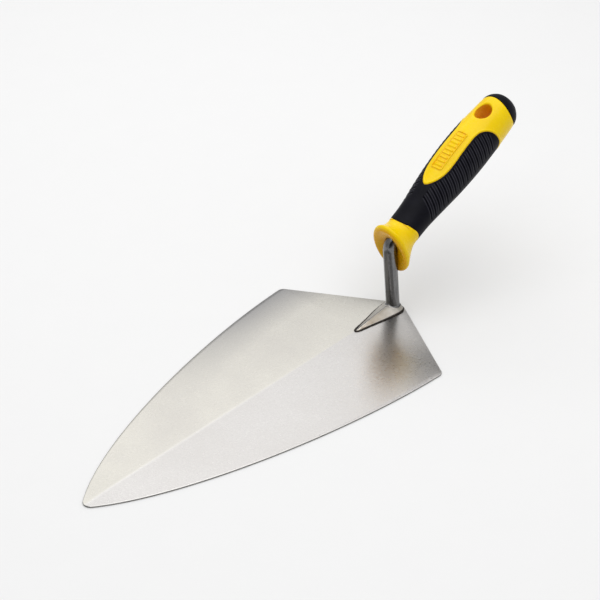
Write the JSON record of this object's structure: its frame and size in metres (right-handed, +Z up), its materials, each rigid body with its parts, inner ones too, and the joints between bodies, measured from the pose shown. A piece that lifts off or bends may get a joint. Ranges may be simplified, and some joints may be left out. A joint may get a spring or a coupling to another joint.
{
  "type": "brick trowel",
  "caption": "Pointed steel mason's trowel: flat blade with a faint ridge, bent round shank and a two-colour soft-grip handle with a finger guard and hanging hole.",
  "frame": {"origin": "on the ground under the middle of the tool's overall box, in its plane of symmetry", "axes": "+X from the heel of the blade to its toe, +Y to the left of someone looking along +X, +Z up from the blade"},
  "size_m": [0.3858, 0.1394, 0.1202],
  "materials": {
    "blade_steel": "satin, finely brushed along the blade",
    "tang_steel": "dark forged steel, tumbled, with a ground foot",
    "weld_metal": "dark heat-tinted weld",
    "yellow_plastic": "glossy moulded",
    "black_grip": "matte moulded soft grip"
  },
  "bodies": {
    "root": {"blade": "blade_steel", "tang": "tang_steel", "foot_weld": "weld_metal", "handle_core": "yellow_plastic", "finger_guard": "yellow_plastic", "grip_sleeve": "black_grip", "end_cap": "black_grip"}
  },
  "joints": []
}
